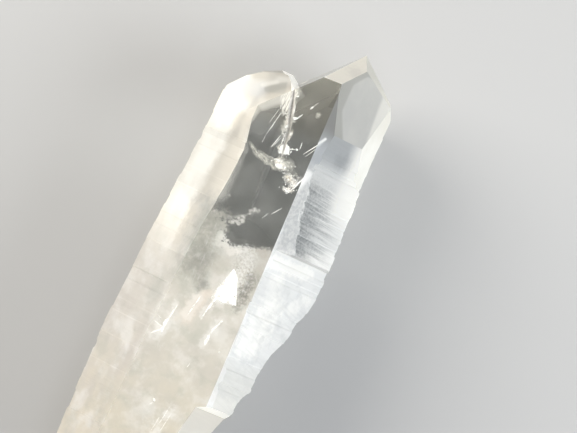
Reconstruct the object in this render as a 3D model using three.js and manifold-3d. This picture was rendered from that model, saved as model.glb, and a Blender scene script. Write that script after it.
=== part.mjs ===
// A lemurian quartz point: two quartz crystals grown side by side into one piece, lying down on one
// of its flat side faces. Millimetres, +Z up, the tips towards +Y.
//
// The shape is drawn with x measured across from the tall tip and y up from the broken base, and is
// moved at the end so that the origin lies on the ground under the middle of its box.
import * as THREE from "three";
import { LoftGeometry } from "three/addons/geometries/LoftGeometry.js";
import { mergeVertices } from "three/addons/utils/BufferGeometryUtils.js";
import Module from "manifold-3d";

// ---------------------------------------------------------------- driving dimensions
const LENGTH = 100; // tall tip above the zero of the base
const THICKNESS = 26; // from the resting face to the clear face on top
const TIP_DEPTH = 12; // how far the tall tip lies below the clear face
const SHORT_TOP = 90.6; // height of the worn top of the short crystal
const AXIS_X = -6.4; // middle of the prism
const SIDE_TILT = 60; // a quartz prism's faces meet at 120 degrees, so each turns by 60
const RUNG = 0.25; // length of the riser of one growth ledge

// Lines along the crystal as [y, x]: the two ridges beside the clear face, and the two outer edges.
const RIDGE_LEFT = [
  [0, -15.8], [40, -15.5], [58, -14.6], [66, -13.7], [74, -13.3], [80, -14.6], [100, -14.8],
];
const RIDGE_RIGHT = [
  [0, -5.6], [6, -4.6], [14, -3.4], [26.5, -1.2], [27.5, 1],
  [50, -0.3], [59.5, -0.2], [60, 1.05], [74, -0.7], [88, -0.2], [100, 0.6],
];
const EDGE_LEFT = [
  [0, -22.2], [6, -22.6], [30, -23.8], [50, -23.4], [66, -22.4], [78, -21.9], [100, -21.6],
];
const EDGE_RIGHT = [
  [0, -0.6], [6, 0.4], [14, 1.8], [23, 3.6], [26, 4.5], [28, 5.6], [31, 5.8], [33, 6.9], [38, 7.1],
  [41, 7.6], [44, 8.8], [48, 9.3], [50, 10.2], [54, 10.8], [60, 10.8], [72, 10], [82, 9.9], [90, 10.6],
  [100, 10.6],
];

// ---------------------------------------------------------------- joining and cutting
const wasm = await Module();
wasm.setup();

function solidOf(geometry) {
  const bare = new THREE.BufferGeometry();
  bare.setAttribute("position", geometry.getAttribute("position"));
  bare.setIndex(geometry.index);
  const merged = mergeVertices(bare, 1e-4);
  return new wasm.Manifold(
    new wasm.Mesh({
      numProp: 3,
      vertProperties: merged.attributes.position.array,
      triVerts: new Uint32Array(merged.index.array),
    }),
  );
}

function geometryOf(solid) {
  const mesh = solid.getMesh();
  const geometry = new THREE.BufferGeometry();
  geometry.setAttribute("position", new THREE.BufferAttribute(mesh.vertProperties, 3));
  geometry.setIndex(new THREE.BufferAttribute(mesh.triVerts, 1));
  return geometry;
}

// ---------------------------------------------------------------- growth ledges
// A repeatable number between 0 and 1 for each whole number.
function shuffled(number) {
  const wave = Math.sin(number * 12.9898) * 43758.5453;
  return wave - Math.floor(wave);
}

// The ladder of one face: heights where its level changes, and the level above each.
function ladder({ from, to, spacing, depth, seed }) {
  const rungs = [];
  let y = from;
  for (let i = 0; y < to; i += 1) {
    const level = depth * (2 * shuffled(seed + 2 * i) - 1);
    rungs.push({ y: Math.round(y / RUNG) * RUNG, level });
    y += spacing * (0.45 + 1.1 * shuffled(seed + 2 * i + 1));
  }
  return rungs;
}

function ladderLevel(rungs, y) {
  let level = 0;
  for (const rung of rungs) {
    if (y <= rung.y) return level;
    if (y < rung.y + RUNG) return level + ((rung.level - level) * (y - rung.y)) / RUNG;
    level = rung.level;
  }
  return level;
}

// ---------------------------------------------------------------- the six-sided prism
// The faces in order round the prism, each with the way it looks and its own ladder.
const FACES = [
  { angle: 90, rungs: [] }, // the clear face on top
  { angle: 150, rungs: ladder({ from: 8, to: 78, spacing: 4, depth: 0.12, seed: 11 }) },
  { angle: 210, rungs: ladder({ from: 6, to: 84, spacing: 3.2, depth: 0.22, seed: 37 }) },
  { angle: 270, rungs: [] }, // the face it rests on
  { angle: 330, rungs: ladder({ from: 6, to: 88, spacing: 2.6, depth: 0.26, seed: 53 }) },
  { angle: 30, rungs: ladder({ from: 30, to: 80, spacing: 2, depth: 0.16, seed: 71 }) },
];
for (const face of FACES) {
  const angle = THREE.MathUtils.degToRad(face.angle);
  face.normal = new THREE.Vector2(Math.cos(angle), Math.sin(angle));
}
const MIDDLE = new THREE.Vector2(AXIS_X, THICKNESS / 2);
const SLOPE = Math.tan(THREE.MathUtils.degToRad(SIDE_TILT));

// Reads a line of [y, x] pairs at height y.
function along(line, y) {
  const next = line.findIndex(([at]) => at >= y);
  if (next < 0) return line[line.length - 1][1];
  if (next === 0) return line[0][1];
  const [y0, x0] = line[next - 1];
  const [y1, x1] = line[next];
  return x0 + ((x1 - x0) * (y - y0)) / (y1 - y0);
}

// How far out from the middle line each face lies at height y, worked out from a point on the face.
function reaches(y) {
  const left = along(EDGE_LEFT, y);
  const right = along(EDGE_RIGHT, y);
  const edgeLeft = new THREE.Vector2(left, THICKNESS - (along(RIDGE_LEFT, y) - left) * SLOPE);
  const edgeRight = new THREE.Vector2(right, THICKNESS - (right - along(RIDGE_RIGHT, y)) * SLOPE);
  const top = new THREE.Vector2(AXIS_X, THICKNESS);
  const ground = new THREE.Vector2(AXIS_X, 0);
  const onFace = [top, edgeLeft, edgeLeft, ground, edgeRight, edgeRight];
  return FACES.map(({ normal, rungs }, i) => {
    return onFace[i].clone().sub(MIDDLE).dot(normal) + ladderLevel(rungs, y);
  });
}

// The six corners of the prism at height y, each where two neighbouring faces cross.
function sectionAt(y) {
  const reach = reaches(y);
  const corners = FACES.map(({ normal }, i) => {
    const next = (i + 1) % FACES.length;
    const other = FACES[next].normal;
    const cross = normal.cross(other);
    const x = (reach[i] * other.y - reach[next] * normal.y) / cross;
    const z = (reach[next] * normal.x - reach[i] * other.x) / cross;
    return new THREE.Vector3(MIDDLE.x + x, y, MIDDLE.y + z);
  });
  return corners.reverse();
}

function prism(top) {
  const heights = new Set([0, top]);
  for (const line of [RIDGE_LEFT, RIDGE_RIGHT, EDGE_LEFT, EDGE_RIGHT]) {
    for (const [y] of line) heights.add(y);
  }
  for (const { rungs } of FACES) {
    for (const { y } of rungs) heights.add(y).add(y + RUNG);
  }
  const sections = [...heights].sort((a, b) => a - b).map(sectionAt);
  return solidOf(new LoftGeometry(sections, { capStart: true, capEnd: true }));
}

// ---------------------------------------------------------------- facets
const BLOCK = 160; // a cutting block, larger than the whole crystal

// A facet looks out towards `azimuth` round the long axis, and leans in over it by `lean` degrees.
function cutFacet(solid, { azimuth, lean, through }) {
  const round = THREE.MathUtils.degToRad(azimuth);
  const steep = THREE.MathUtils.degToRad(lean);
  const out = new THREE.Vector3(
    Math.cos(round) * Math.cos(steep),
    Math.sin(steep),
    Math.sin(round) * Math.cos(steep),
  );
  const block = new THREE.BoxGeometry(BLOCK, BLOCK, BLOCK);
  block.translate(0, 0, BLOCK / 2);
  block.applyQuaternion(new THREE.Quaternion().setFromUnitVectors(new THREE.Vector3(0, 0, 1), out));
  block.translate(...through);
  return solid.subtract(solidOf(block));
}

// A narrow facet takes the edge off the right ridge, from the tip down to the ledge at 60.
const RIDGE_BEVEL = { azimuth: 45, lean: 1.4, through: [-0.6, 60, THICKNESS] };

const TIP = [0, LENGTH, THICKNESS - TIP_DEPTH];
const TALL_POINT = [
  { azimuth: 175, lean: 42, through: TIP }, // the slope down to the notch
  { azimuth: 210, lean: 38.2, through: TIP }, // the same slope, underneath
  { azimuth: 270, lean: 50, through: TIP }, // underneath
  { azimuth: 96, lean: 59.7, through: TIP }, // the small pale facet at the tip
  { azimuth: 30, lean: 8, through: [2.7, 83.3, 20.6] }, // the long grey facet
  { azimuth: 22, lean: 3, through: [6.7, 83.4, 13.6] }, // the strip down the right edge
  { azimuth: 15, lean: 42.8, through: TIP }, // from the tip to the right shoulder
  { azimuth: 330, lean: 58.5, through: TIP }, // the same, underneath
  { azimuth: 0, lean: 26.6, through: [8.6, 92.4, 8] }, // the right shoulder
];

const SHOULDER = [-21.6, 84, 13.5];
const SHORT_POINT = [
  { azimuth: 142.4, lean: 28.6, through: [-14.6, 80, THICKNESS] }, // the bright left facet
  { azimuth: 208, lean: 38.2, through: SHOULDER }, // the same, underneath
  { azimuth: 176, lean: 40, through: SHOULDER }, // the left shoulder
  { azimuth: 172, lean: 52, through: [-18.5, 87.5, 13] }, // the worn shoulder, lower part
  { azimuth: 170, lean: 64.6, through: [-16.7, 88.9, 14] }, // the worn shoulder, upper part
  { azimuth: 90, lean: 87, through: [-12.7, SHORT_TOP, 14] }, // the worn top
  { azimuth: 90, lean: 58, through: [-13, 87.2, THICKNESS] }, // the front
  { azimuth: 270, lean: 38.2, through: [-14, SHORT_TOP, 10] }, // underneath
  { azimuth: 8, lean: 53.7, through: [-11.2, SHORT_TOP - 0.2, 15] }, // the side of the notch
];

// ---------------------------------------------------------------- seams, the break and chips
// The two crystals grew against each other along seams: grooves that run out at both ends.
function cutSeam(solid, { from, to, width, depth }) {
  const start = new THREE.Vector3(...from);
  const end = new THREE.Vector3(...to);
  const groove = new THREE.OctahedronGeometry(1);
  groove.scale(width / 2, start.distanceTo(end) / 2, depth);
  groove.rotateZ(-Math.atan2(end.x - start.x, end.y - start.y));
  groove.translate(...start.add(end).multiplyScalar(0.5));
  return solid.subtract(solidOf(groove));
}

// Quartz breaks in shell-shaped scoops, so each bite out of it is part of a ball.
function bite(solid, { at, radius, detail }) {
  const ball = new THREE.IcosahedronGeometry(radius, detail);
  ball.translate(...at);
  return solid.subtract(solidOf(ball));
}

const SEAMS = [
  { from: [-10.4, 91, THICKNESS], to: [-7, 79.5, THICKNESS], width: 1.1, depth: 0.8 },
  { from: [-7.9, 84.5, THICKNESS], to: [-6.3, 75, THICKNESS], width: 0.8, depth: 0.5 },
  { from: [-9.6, 92, 0], to: [-7.4, 62, 0], width: 1.6, depth: 1.4 },
];
const BREAK = { azimuth: 300, lean: -72, through: [-12, 3.5, 12] };
const SCOOPS = [
  { at: [-17, -7, 21], radius: 14, detail: 7 },
  { at: [-4, -6.5, 17], radius: 13, detail: 7 },
  { at: [-13, -8, 1], radius: 13.5, detail: 7 },
  { at: [-24.5, 0, 11], radius: 6.5, detail: 4 },
];
const CHIPS = [
  { at: [-23.3, 73, 10.6], radius: 1.6, detail: 2 }, // on the left edge
  { at: [-24.9, 29, 12.4], radius: 1.7, detail: 2 },
  { at: [-9.4, 91, 16], radius: 1.5, detail: 2 }, // beside the notch
  { at: [-10.8, 91.9, 13], radius: 1.6, detail: 2 },
  { at: [12.2, 58.6, 5.6], radius: 1.9, detail: 2 }, // on the right edge
  { at: [8.6, 36.4, 13.6], radius: 1.7, detail: 2 },
];

// ---------------------------------------------------------------- the part
// Both points are cut from the same prism, and the crystal is the two of them joined.
function makeCrystal() {
  const rough = cutFacet(prism(LENGTH + 4), RIDGE_BEVEL);
  const tall = TALL_POINT.reduce(cutFacet, rough);
  const short = SHORT_POINT.reduce(cutFacet, rough);
  const grown = SEAMS.reduce(cutSeam, tall.add(short));
  const broken = cutFacet(grown, BREAK);
  return [...SCOOPS, ...CHIPS].reduce(bite, broken);
}

const body = geometryOf(makeCrystal());
body.computeBoundingBox();
const centre = body.boundingBox.getCenter(new THREE.Vector3());
body.translate(-centre.x, -centre.y, -body.boundingBox.min.z);

const clearQuartz = new THREE.MeshStandardMaterial({ color: 0xe6e3da, roughness: 0.25, metalness: 0 });
const point = new THREE.Mesh(body, clearQuartz);
point.name = "quartz_point";

const part = new THREE.Group();
part.add(point);
export default part;
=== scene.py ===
# %% [markdown]
# # A lemurian quartz point
#
# A quartz point is a six-sided prism with a pointed end. This one is two crystals grown together:
# a tall one with a sharp tip, and a shorter one with a worn top. One long face is clear and flat
# like a window. The faces beside it are satin, with fine growth lines, and the lower half is milky.
# The crystal lies on a flat side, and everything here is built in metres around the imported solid.

# %% Load the solid
import math
import random

import bmesh
import bpy
from mathutils import Euler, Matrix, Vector, noise
from mathutils.bvhtree import BVHTree


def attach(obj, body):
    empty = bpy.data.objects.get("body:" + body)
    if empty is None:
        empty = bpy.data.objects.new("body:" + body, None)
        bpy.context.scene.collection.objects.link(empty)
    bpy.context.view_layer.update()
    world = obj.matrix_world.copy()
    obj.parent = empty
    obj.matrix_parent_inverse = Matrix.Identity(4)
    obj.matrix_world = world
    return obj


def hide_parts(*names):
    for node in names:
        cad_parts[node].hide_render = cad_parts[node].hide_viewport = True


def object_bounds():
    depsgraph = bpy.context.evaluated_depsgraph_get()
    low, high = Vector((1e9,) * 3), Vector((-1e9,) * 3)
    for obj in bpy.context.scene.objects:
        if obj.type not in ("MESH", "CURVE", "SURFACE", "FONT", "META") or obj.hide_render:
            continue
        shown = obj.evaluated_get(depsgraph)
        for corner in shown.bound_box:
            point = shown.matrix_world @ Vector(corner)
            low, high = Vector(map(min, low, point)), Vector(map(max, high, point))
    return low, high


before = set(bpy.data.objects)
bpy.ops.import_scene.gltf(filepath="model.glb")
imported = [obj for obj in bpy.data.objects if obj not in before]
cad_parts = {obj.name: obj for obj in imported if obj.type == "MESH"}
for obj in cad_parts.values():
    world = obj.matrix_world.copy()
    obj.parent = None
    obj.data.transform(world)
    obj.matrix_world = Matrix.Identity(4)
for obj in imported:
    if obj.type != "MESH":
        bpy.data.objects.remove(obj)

NODE = "quartz_point"
MM = 0.001
CAD_LOW, CAD_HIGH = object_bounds()
print("solid, mm:", [round(side / MM, 1) for side in CAD_HIGH - CAD_LOW])

# %% [markdown]
# ## One way to say where things are
#
# A mineral dealer describes a flaw by how far it is from the tip, how far to the side, and how deep
# under the face. The same three numbers, in millimetres, place everything in this crystal. `across`
# is measured from the tall tip to the right, `up` along the crystal, from about 2 at the base to
# 100 at the tip, and `deep` down from the clear face.

# %% A place in the crystal, and a way into the scene
LENGTH = 100.0
TIP = max((vertex.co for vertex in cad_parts[NODE].data.vertices), key=lambda co: co.y).copy()
TOP = CAD_HIGH.z


def place(across, up, deep=0.0):
    return Vector((TIP.x + across * MM, TIP.y + (up - LENGTH) * MM, TOP - deep * MM))


def put_in_scene(thing):
    bpy.context.scene.collection.objects.link(thing)


print("tall tip:", [round(value / MM, 2) for value in TIP])

# %% [markdown]
# ## Camera
#
# The crystal lies down, so the camera looks straight down on it, turned so that the tip points up
# and to the right. A long lens far away keeps the long edges parallel.

# %% Camera
SHOWN_WIDTH = 108.868 * MM
LENS = 500.0
SENSOR = 36.0
NEAREST = 0.01
TURN = math.radians(25)
AIM = place(-0.54, 66.2, 9.0)

camera = bpy.data.objects.new("camera", bpy.data.cameras.new("camera"))
camera.data.lens = LENS
camera.data.sensor_width = SENSOR
camera.data.clip_start = NEAREST
camera.location = AIM + Vector((0, 0, SHOWN_WIDTH * LENS / SENSOR))
camera.rotation_euler = (0, 0, TURN)
put_in_scene(camera)
bpy.context.scene.camera = camera
print("camera height, mm:", round(camera.location.z / MM))

# %% [markdown]
# ## Light
#
# Satin quartz shows best with a broad warm light low on one side and a broad cool light on the
# other. A third, faint one overhead puts a soft sheen on the clear face. Light that goes through
# many thin flaws needs many bounces, or they turn black.

# %% Lights and surroundings
# Each lamp's name, the way to it, its distance and width in metres, its watts and its colour.
LAMPS = [
    ("warm_side", (-1.0, 0.35, 0.50), 0.60, 0.45, 6.0, (1.0, 0.965, 0.90)),
    ("cool_side", (1.0, 0.1, 0.45), 0.60, 0.45, 4.4, (0.94, 0.97, 1.0)),
    ("overhead", (0.25, -0.30, 1.0), 0.80, 0.35, 0.8, (1.0, 0.99, 0.97)),
]
SKY_COLOUR = (0.80, 0.82, 0.84, 1)
SKY_STRENGTH = 0.35
BOUNCES = 16
THIN_FLAWS = 48

for name, towards, distance, width, watts, colour in LAMPS:
    lamp = bpy.data.lights.new(name, "AREA")
    lamp.shape = "DISK"
    lamp.size = width
    lamp.energy = watts
    lamp.color = colour
    holder = bpy.data.objects.new(name, lamp)
    direction = Vector(towards).normalized()
    holder.location = AIM + direction * distance
    holder.rotation_mode = "QUATERNION"
    holder.rotation_quaternion = direction.to_track_quat("Z", "Y")
    put_in_scene(holder)

world = bpy.data.worlds.new("studio")
world.use_nodes = True
world.node_tree.nodes["Background"].inputs["Color"].default_value = SKY_COLOUR
world.node_tree.nodes["Background"].inputs["Strength"].default_value = SKY_STRENGTH
bpy.context.scene.world = world
bpy.context.scene.view_settings.view_transform = "Standard"
bpy.context.scene.cycles.transparent_max_bounces = THIN_FLAWS
bpy.context.scene.cycles.max_bounces = BOUNCES
print("lamps:", [lamp.name for lamp in bpy.data.lights])

# %% [markdown]
# ## Sums that make nodes
#
# A finish is a web of nodes. Made one by one they would fill pages, so a small class lets the
# results of nodes be used in sums like numbers, and each sum makes the node for it. Most of them
# are masks: 1 where something shows, 0 where it doesn't. `a * b` is where both show, and `a | b`
# is the stronger of the two.

# %% Values of nodes
def feed(socket, value):
    """Sets an input to a plain value, or links it to another node's result."""
    if isinstance(value, Value):
        value.tree.links.new(value.socket, socket)
    else:
        socket.default_value = value


def add_node(tree, kind, inputs, result=0, **settings):
    node = tree.nodes.new("ShaderNode" + kind)
    for label, setting in settings.items():
        setattr(node, label, setting)
    for label, value in inputs.items():
        feed(node.inputs[label], value)
    return Value(node.outputs[result])


class Value:
    """A node's result. A sum or product with it is a node as well."""

    def __init__(self, socket):
        self.socket = socket
        self.tree = socket.id_data

    def math(self, operation, first, second):
        return add_node(self.tree, "Math", {0: first, 1: second}, operation=operation)

    def __add__(self, other):
        return self.math("ADD", self, other)

    def __sub__(self, other):
        return self.math("SUBTRACT", self, other)

    def __rsub__(self, other):
        return self.math("SUBTRACT", other, self)

    def __mul__(self, other):
        return self.math("MULTIPLY", self, other)

    def __truediv__(self, other):
        return self.math("DIVIDE", self, other)

    def __or__(self, other):
        return self.math("MAXIMUM", self, other)


# %% Helpers for vectors, ramps and coats of colour
def vector(operation, first, *second, result="Vector"):
    inputs = dict(enumerate((first, *second)))
    return add_node(first.tree, "VectorMath", inputs, result, operation=operation)


def split(where):
    node = where.tree.nodes.new("ShaderNodeSeparateXYZ")
    feed(node.inputs[0], where)
    return [Value(socket) for socket in node.outputs]


def ramp(value, low, high, start=0.0, end=1.0, curve="SMOOTHSTEP"):
    """Goes from start to end while the value goes from low to high."""
    inputs = {"Value": value, "From Min": low, "From Max": high, "To Min": start, "To Max": end}
    return add_node(value.tree, "MapRange", inputs, "Result", interpolation_type=curve)


def spread(mask, least, most):
    """The least where the mask is 0, and the most where it is 1."""
    return ramp(mask, 0.0, 1.0, least, most)


def blend(mask, first, second):
    """The first colour where the mask is 0, and the second where it is 1."""
    return add_node(mask.tree, "Mix", {0: mask, 6: first, 7: second}, 2, data_type="RGBA")


def paint(colour, *coats):
    """Lays coats over a colour. Each is a mask, a colour and how well it covers."""
    for mask, coat, cover in coats:
        colour = blend(mask * cover, colour, coat)
    return colour


# multiplies a colour by shares: lighter or darker copies of one colour, used here as painted light
def tint(colour, light_shares):
    return vector("MULTIPLY", colour, light_shares)


# %% [markdown]
# ## Patterns
#
# Four patterns come back in many finishes: growth lines that run across the crystal, clouds of tiny
# bubbles, the fine net of a healed crack, and a soft stroke, as if wiped with a brush. Each is a
# node group that takes the place in the crystal in millimetres and gives back a mask. Groups keep
# the materials small, and a change in one place changes every finish.

# %% Patterns
def new_group(name, make, output, kind="NodeSocketFloat", **inputs):
    """Packs what `make` builds from a place and these inputs, which it takes in this order."""
    group = bpy.data.node_groups.new(name, "ShaderNodeTree")
    group.interface.new_socket("Place", in_out="INPUT", socket_type="NodeSocketVector")
    for label, value in inputs.items():
        given_kind = "NodeSocketVector" if isinstance(value, tuple) else "NodeSocketFloat"
        socket = group.interface.new_socket(label, in_out="INPUT", socket_type=given_kind)
        socket.default_value = value
    group.interface.new_socket(output, in_out="OUTPUT", socket_type=kind)
    sockets = group.nodes.new("NodeGroupInput").outputs[:1 + len(inputs)]
    made = make(*[Value(socket) for socket in sockets])
    feed(group.nodes.new("NodeGroupOutput").inputs[0], made)
    return group


def grain(where, detail, roughness):
    inputs = {"Vector": where, "Scale": 1.0, "Detail": detail, "Roughness": roughness}
    return add_node(where.tree, "TexNoise", inputs, "Fac")


def growth_lines(where, length, spacing, low, high, tilt):
    """Noise drawn out across the crystal, a little downhill where it is tilted."""
    across, up, height = split(where)
    inputs = {0: across / length, 1: (up + across * tilt) / spacing, 2: height / length}
    return ramp(grain(add_node(where.tree, "CombineXYZ", inputs), 3.0, 0.6), low, high)


def clouds(where, size, low, high):
    return ramp(grain(vector("DIVIDE", where, size), 6.0, 0.62), low, high)


def stroke(where, start, end, width, soft, wander):
    """1 near a straight line from start to end, 0 beyond its soft rim, which may wander."""
    offset = vector("SUBTRACT", vector("MULTIPLY", where, (1, 1, 0)), start)
    whole = vector("SUBTRACT", end, start)
    along = vector("DOT_PRODUCT", offset, whole, result="Value")
    length = vector("DOT_PRODUCT", whole, whole, result="Value")
    share = ramp(along / length, 0.0, 1.0, curve="LINEAR")
    aside = vector("SUBTRACT", offset, vector("MULTIPLY", whole, share))
    return ramp(vector("LENGTH", aside, result="Value") + wander, width + soft, width)


def lace(where, size, width):
    """The fine broken net of a healed crack: bent borders between cells."""
    scaled = vector("DIVIDE", where, size)
    wobble = add_node(where.tree, "TexNoise", {"Vector": scaled, "Scale": 1.3, "Detail": 4.0}, "Color")
    inputs = {"Vector": vector("ADD", scaled, wobble), "Scale": 1.0}
    cells = add_node(where.tree, "TexVoronoi", inputs, "Distance", feature="DISTANCE_TO_EDGE")
    return ramp(cells, width, 0.0)


LINE_INPUTS = {"Length": 12.0, "Spacing": 0.7, "Low": 0.4, "High": 0.6, "Tilt": 0.0}
STROKE_INPUTS = {"Start": (0, 0, 0), "End": (1, 0, 0), "Width": 1.0, "Soft": 1.0, "Wander": 0.0}
GROWTH_LINES = new_group("growth_lines", growth_lines, "Lines", **LINE_INPUTS)
CLOUDS = new_group("clouds", clouds, "Cloud", Size=6.0, Low=0.4, High=0.6)
STROKE = new_group("stroke", stroke, "Stroke", **STROKE_INPUTS)
LACE = new_group("lace", lace, "Lace", Size=0.9, Width=0.2)
print("patterns:", [group.name for group in bpy.data.node_groups])

# %% [markdown]
# ## A brush for one place
#
# A painter holds the place in one node tree and gives back masks for it. Places are (across, up).
# A mask that is only made of noise looks like noise, so the flaws that a person would point at are
# strokes, spots and patches set one by one, and only their rims are left to chance.

# %% Painter
RIM_NOISE = 1.6
SPOT_EDGE = 1.35
SPOT_RAGGED = 0.7
ANY_DEPTH = 99.0


class Painter:
    def __init__(self, where):
        self.where = where
        self.across, self.up, self.height = split(where)
        self.wander = self.clouds(RIM_NOISE, 0.25, 0.75) - 0.5

    def pattern(self, group, **inputs):
        return add_node(self.where.tree, "Group", {"Place": self.where, **inputs}, node_tree=group)

    def clouds(self, size, low, high):
        return self.pattern(CLOUDS, Size=size, Low=low, High=high)

    def lines(self, length, spacing, low, high, tilt=0.0):
        return self.pattern(GROWTH_LINES, Length=length, Spacing=spacing, Low=low, High=high, Tilt=tilt)

    def lace(self, size, width=0.3):
        return self.pattern(LACE, Size=size, Width=width)

    def stroke(self, start, end, width, soft, ragged=0.0):
        """A soft stroke between two places, whose rim wanders if it is ragged."""
        wander = self.wander * ragged if ragged else 0.0
        ends = {"Start": (*start, 0.0), "End": (*end, 0.0)}
        return self.pattern(STROKE, **ends, Width=width, Soft=soft, Wander=wander)

    def strokes(self, rows):
        """The strongest of several strokes. Each row starts with how strong its stroke is."""
        together, *others = [self.stroke(*row) * strength for strength, *row in rows]
        for other in others:
            together = together | other
        return together

    def spot(self, centre, size, soft):
        """1 round a place, fading raggedly to 0 at an oval of this size."""
        offset = vector("SUBTRACT", self.where, (*centre, 0.0))
        scaled = vector("DIVIDE", offset, (*size, ANY_DEPTH))
        ragged = self.clouds(min(size) * 0.6, 0.2, 0.8)
        distance = vector("LENGTH", scaled, result="Value") + ragged * SPOT_RAGGED
        return ramp(distance, SPOT_EDGE, SPOT_EDGE - soft)

    def patch(self, corners, soft):
        """1 inside a flat outline of places given clockwise, with no inward corner."""
        inside = []
        for start, end in zip(corners, corners[1:] + corners[:1]):
            inward = Vector((end[1] - start[1], start[0] - end[0], 0.0)).normalized()
            offset = vector("SUBTRACT", self.where, (*start, 0.0))
            distance = vector("DOT_PRODUCT", offset, tuple(inward), result="Value")
            inside.append(ramp(distance, -soft / 2, soft / 2))
        together, *others = inside
        for other in others:
            together = together * other
        return together

    def away_from_rim(self):
        """1 in the middle of a sheet and 0 at its rim, a little ragged."""
        rim = add_node(self.where.tree, "Attribute", {}, "Fac", attribute_name="rim")
        return ramp(rim + self.clouds(0.9, 0.2, 0.8) * 0.5, 1.15, 0.65)


# %% [markdown]
# ## Quartz
#
# Clear quartz bends light by 1.544. A lamp doesn't shine through bent glass in this renderer
# without a lot of noise, so for shadow rays alone the surface is a tinted pane: the flaws inside
# and the ground below get their light through it. Quartz also takes a little light away with
# depth. Light often comes in through one finish and leaves through another, so the depth is given
# to one closed piece with one finish, the haze just under the skin.

# %% A finish
IOR = 1.544
CLEAR_PANE = (0.70, 0.705, 0.70, 1)
SATIN_PANE = (0.80, 0.80, 0.80, 1)
ABSORPTION = {"Color": (0.62, 0.64, 0.63, 1), "Density": 70.0}
MATT = 0.9


class Finish(Painter):
    """One material, with the place in the crystal ready for its patterns."""

    def __init__(self, name):
        self.material = bpy.data.materials.new(name)
        self.material.use_nodes = True
        tree = self.material.node_tree
        self.shader = tree.nodes["Principled BSDF"]
        self.output = tree.nodes["Material Output"]
        inputs = {
            "Vector": add_node(tree, "TexCoord", {}, "Object"),
            "Scale": (1 / MM, 1 / MM, 1 / MM),
            "Location": [-value / MM for value in place(0, 0)],
        }
        super().__init__(add_node(tree, "Mapping", inputs))

    def feed(self, label, value):
        feed(self.shader.inputs[label], value)

    def bump(self, height, distance, strength):
        inputs = {"Height": height, "Distance": distance * MM, "Strength": strength}
        self.feed("Normal", add_node(self.where.tree, "Bump", inputs, "Normal"))

    def let_lamps_through(self, pane):
        shadow = add_node(self.where.tree, "LightPath", {}, "Is Shadow Ray")
        tinted = add_node(self.where.tree, "BsdfTransparent", {"Color": pane})
        inputs = {0: shadow, 1: Value(self.shader.outputs["BSDF"]), 2: tinted}
        feed(self.output.inputs["Surface"], add_node(self.where.tree, "MixShader", inputs))

    def absorb(self):
        feed(self.output.inputs["Volume"], add_node(self.where.tree, "VolumeAbsorption", ABSORPTION))

    def made(self, colour, roughness=MATT, alpha=None, glow=0.0, glow_colour=None):
        """Feeds the shader and gives back the material."""
        self.feed("Base Color", colour)
        self.feed("Roughness", roughness)
        if alpha:
            self.feed("Alpha", alpha)
        if glow:
            self.feed("Emission Color", glow_colour)
            self.feed("Emission Strength", glow)
        print("finish:", self.material.name + ",", len(self.where.tree.nodes), "nodes")
        return self.material


# %% Two kinds of finish
def quartz(name, transmission, pane=SATIN_PANE):
    finish = Finish(name)
    finish.feed("IOR", IOR)
    finish.feed("Transmission Weight", transmission)
    finish.let_lamps_through(pane)
    return finish


def matt(name):
    finish = Finish(name)
    finish.feed("Specular IOR Level", 0.0)
    return finish


# %% [markdown]
# The milk isn't one white. It is cream in the middle and beige towards the base, greener and darker
# where it thins out below the window, with a few paler and pinker clouds. The satin skin over it
# has the same colours, so the soft ridge between the two can't be seen there, and one group gives
# the colour to both.

# %% Pattern: the colours of the milk
MILK_CREAM = (0.495, 0.472, 0.430, 1)
MILK_BEIGE = (0.505, 0.468, 0.400, 1)
MILK_ROSE = (0.450, 0.425, 0.390, 1)
MILK_GREEN = (0.375, 0.375, 0.335, 1)
MILK_DARK = (0.230, 0.232, 0.212, 1)
MILK_PEACH = (0.60, 0.54, 0.48, 1)
MILK_WHITE = (0.64, 0.63, 0.61, 1)


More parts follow.
